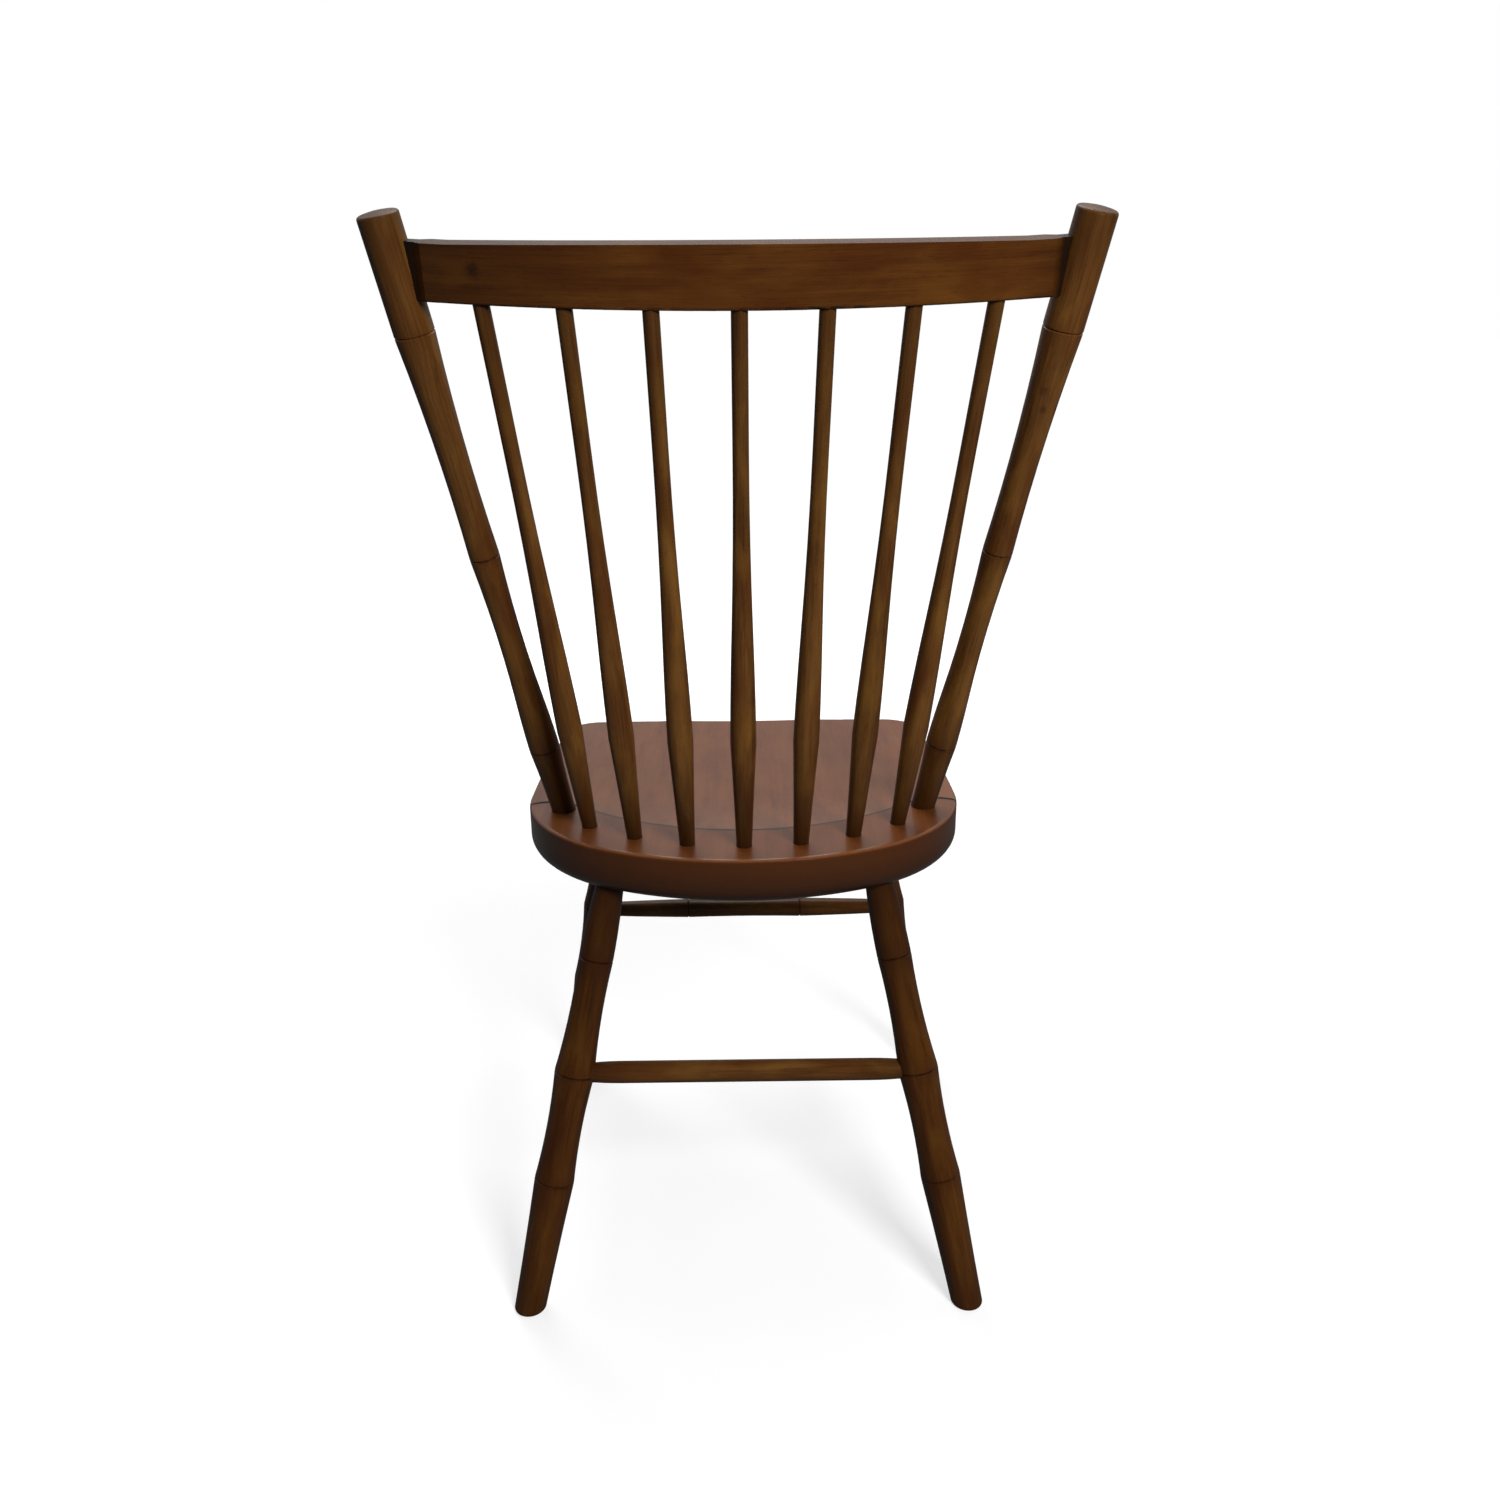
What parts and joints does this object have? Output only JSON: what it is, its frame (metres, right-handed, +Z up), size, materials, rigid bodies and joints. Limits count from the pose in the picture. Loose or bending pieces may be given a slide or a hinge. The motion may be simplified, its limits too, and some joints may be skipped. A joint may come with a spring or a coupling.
{
  "type": "windsor chair",
  "caption": "Wooden side chair: saddled plank seat, bent crest between raked posts, slim back spindles, and splayed ring-turned legs tied by a box of stretchers.",
  "frame": {"origin": "on the floor, under the middle of the chair's plan box", "axes": "+Z up, -Y the way the sitter faces, +X to the sitter's left"},
  "size_m": [0.5608, 0.4684, 0.9732],
  "materials": {
    "turned_wood": "walnut-brown stain under satin lacquer",
    "crest_wood": "walnut-brown stain under satin lacquer",
    "seat_wood": "reddish walnut stain under semi-gloss lacquer"
  },
  "bodies": {
    "root": {"seat": "seat_wood", "crest_rail": "crest_wood", "post_left": "turned_wood", "post_right": "turned_wood", "spindle_1": "turned_wood", "spindle_2": "turned_wood", "spindle_3": "turned_wood", "spindle_4": "turned_wood", "spindle_5": "turned_wood", "spindle_6": "turned_wood", "spindle_7": "turned_wood", "rear_leg_left": "turned_wood", "rear_leg_right": "turned_wood", "front_leg_left": "turned_wood", "front_leg_right": "turned_wood", "rear_stretcher": "turned_wood", "front_stretcher": "turned_wood", "side_stretcher_left": "turned_wood", "side_stretcher_right": "turned_wood"}
  },
  "joints": []
}
